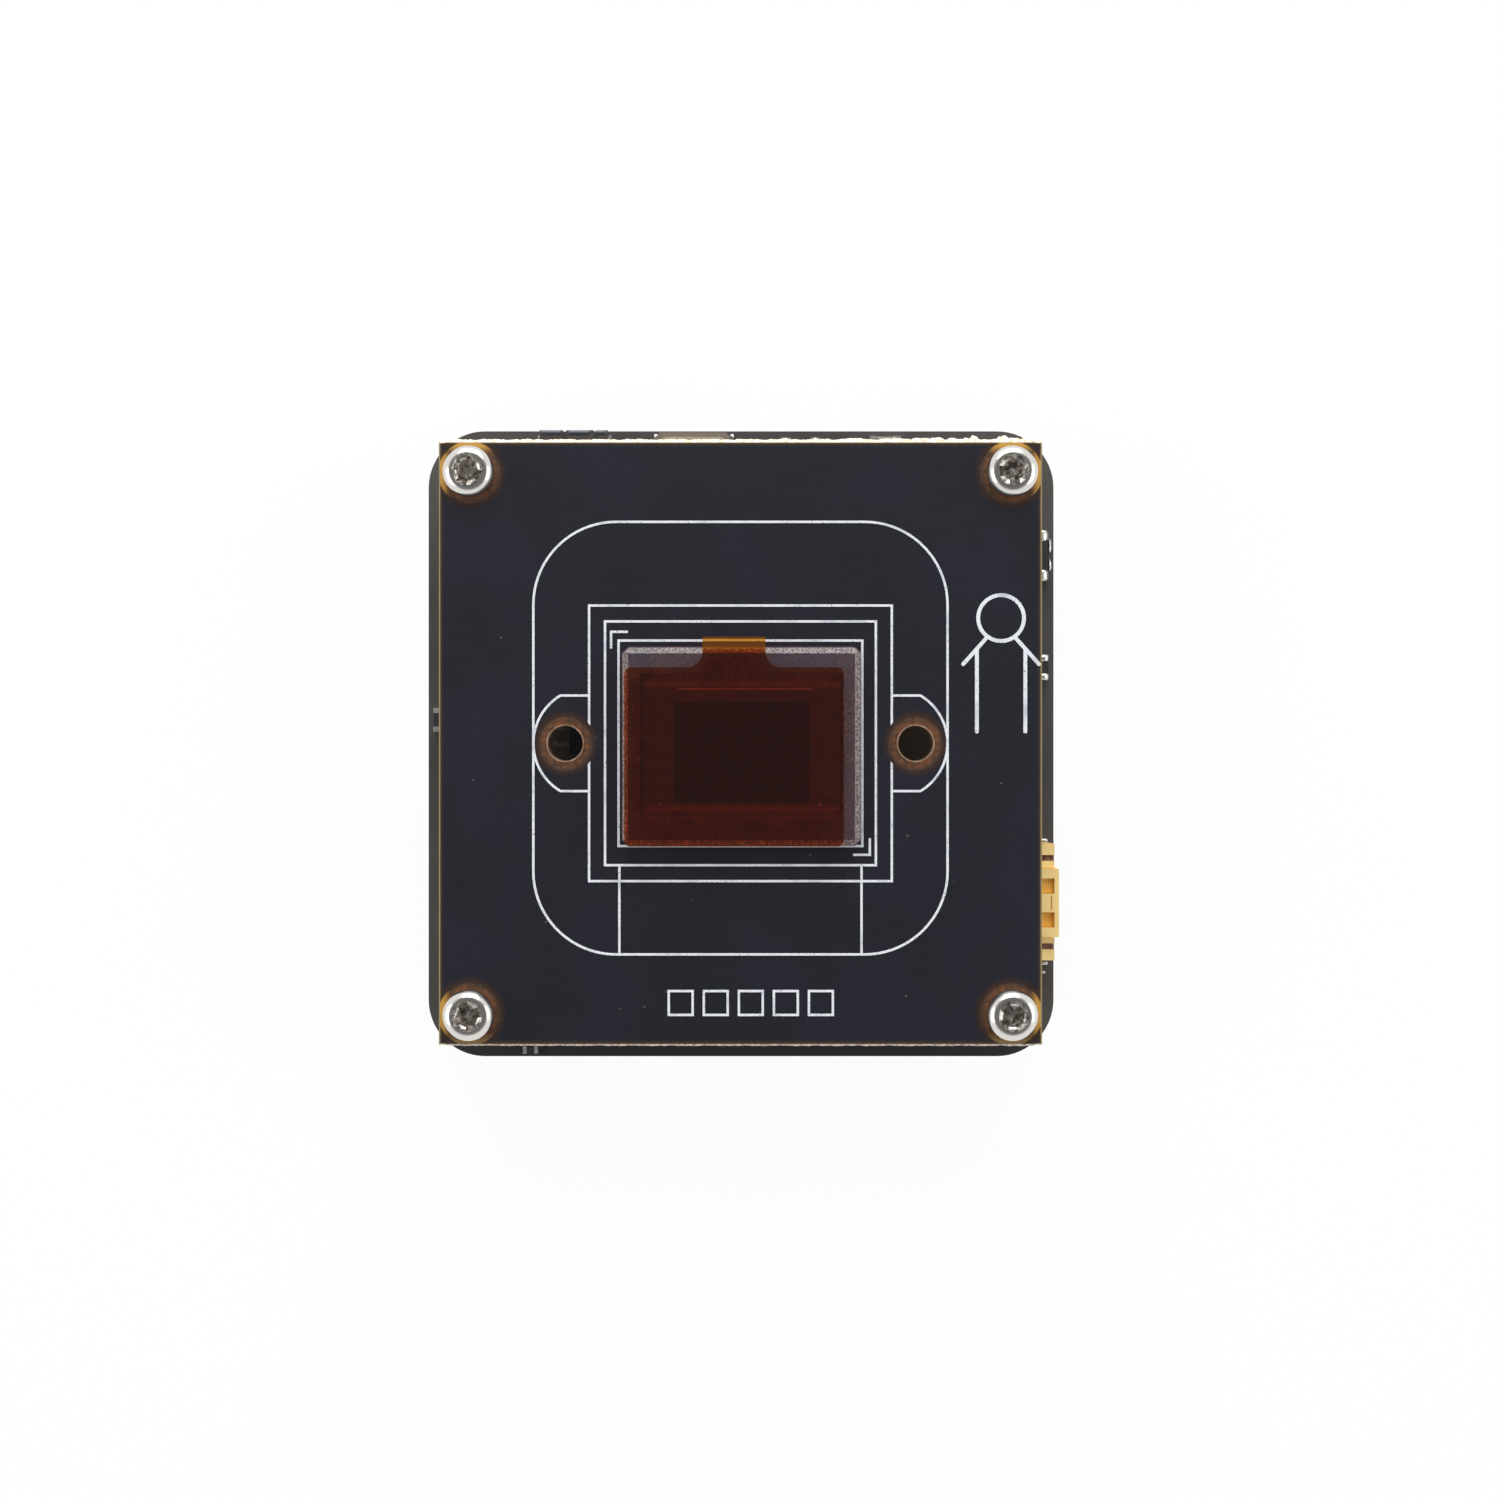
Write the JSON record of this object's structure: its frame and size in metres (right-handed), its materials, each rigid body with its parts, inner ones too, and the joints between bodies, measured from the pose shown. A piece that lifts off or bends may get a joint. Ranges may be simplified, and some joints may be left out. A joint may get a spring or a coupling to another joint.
{
  "type": "camera module",
  "caption": "Board camera module: square sensor board with a film-covered image sensor, on brass posts in front of a round-cornered main board with side-entry sockets.",
  "frame": {"origin": "midway between the two lens holder holes, on the front face of the sensor board's laminate", "axes": "+Z out of the sensor along the optical axis, +Y towards the top of the picture it takes, +X to the right seen from the front; the module lies on the tops of its rear sockets"},
  "size_m": [0.042, 0.042, 0.0147],
  "materials": {
    "laminate": "woven glass and epoxy laminate, broken or routed at the edge",
    "solder_mask": "dark blue-black solder mask, semi-gloss",
    "legend_ink": "screen-printed white ink, matt",
    "gold_plating": "gold-plated copper, satin",
    "package_ceramic": "fired black alumina, matt",
    "silicon": "polished silicon under a passivation layer",
    "pixel_array": "micro-lens array, very dark, satin",
    "sensor_glass": "optical cover glass, clear, polished",
    "polyimide_film": "amber polyimide film, translucent, glossy",
    "plated_steel": "nickel-plated steel, bright",
    "turned_brass": "turned brass, satin",
    "solder": "reflowed solder, bright satin",
    "chip_ceramic": "fired capacitor ceramic, matt",
    "tinned_metal": "matt tin plating",
    "mould_compound": "black epoxy mould compound, matt",
    "connector_resin": "glass-filled nylon, natural cream, satin",
    "natural_nylon": "natural nylon, warm cream, slightly translucent",
    "black_nylon": "black glass-filled nylon, semi-gloss",
    "crystal_ceramic": "taupe ceramic, matt",
    "lid_metal": "thin nickel-plated lid, satin",
    "package_laminate": "green package laminate, satin",
    "ferrite": "grey ferrite with resin, matt"
  },
  "bodies": {
    "root": {"sensor_board": "laminate", "sensor_board_mask": "solder_mask", "sensor_board_legend": "legend_ink", "lens_hole_rims": "gold_plating", "sensor_package": "package_ceramic", "sensor_die": "silicon", "pixel_area": "pixel_array", "cover_glass": "sensor_glass", "protective_film": "polyimide_film", "front_screws": "plated_steel", "posts": "turned_brass", "post_solder": "solder", "sensor_capacitors": "chip_ceramic", "sensor_capacitor_ends": "tinned_metal", "sensor_regulators": "mould_compound", "regulator_legs": "tinned_metal", "board_plug": "connector_resin", "plug_contacts": "gold_plating", "board_socket": "connector_resin", "socket_contacts": "gold_plating", "main_board": "laminate", "main_board_mask": "solder_mask", "main_board_legend": "legend_ink", "microphone_socket": "natural_nylon", "microphone_pins": "tinned_metal", "microphone_tabs": "tinned_metal", "service_socket": "black_nylon", "service_pins": "tinned_metal", "service_tabs": "tinned_metal", "crystal_bases": "crystal_ceramic", "crystal_lids": "lid_metal", "network_transformer": "mould_compound", "transformer_legs": "tinned_metal", "front_capacitors": "chip_ceramic", "front_capacitor_ends": "tinned_metal", "front_resistors": "mould_compound", "front_resistor_ends": "tinned_metal", "processor": "mould_compound", "processor_substrate": "package_laminate", "memory_chip": "mould_compound", "flash_chip": "mould_compound", "flash_legs": "tinned_metal", "power_inductors": "ferrite", "inductor_ends": "tinned_metal", "power_converters": "mould_compound", "converter_legs": "tinned_metal", "rear_capacitors": "chip_ceramic", "rear_capacitor_ends": "tinned_metal", "network_socket": "connector_resin", "network_pins": "tinned_metal", "audio_socket": "connector_resin", "audio_pins": "tinned_metal", "light_socket": "connector_resin", "light_pins": "tinned_metal", "filter_socket": "connector_resin", "filter_pins": "tinned_metal", "rear_socket_tabs": "tinned_metal"}
  },
  "joints": []
}
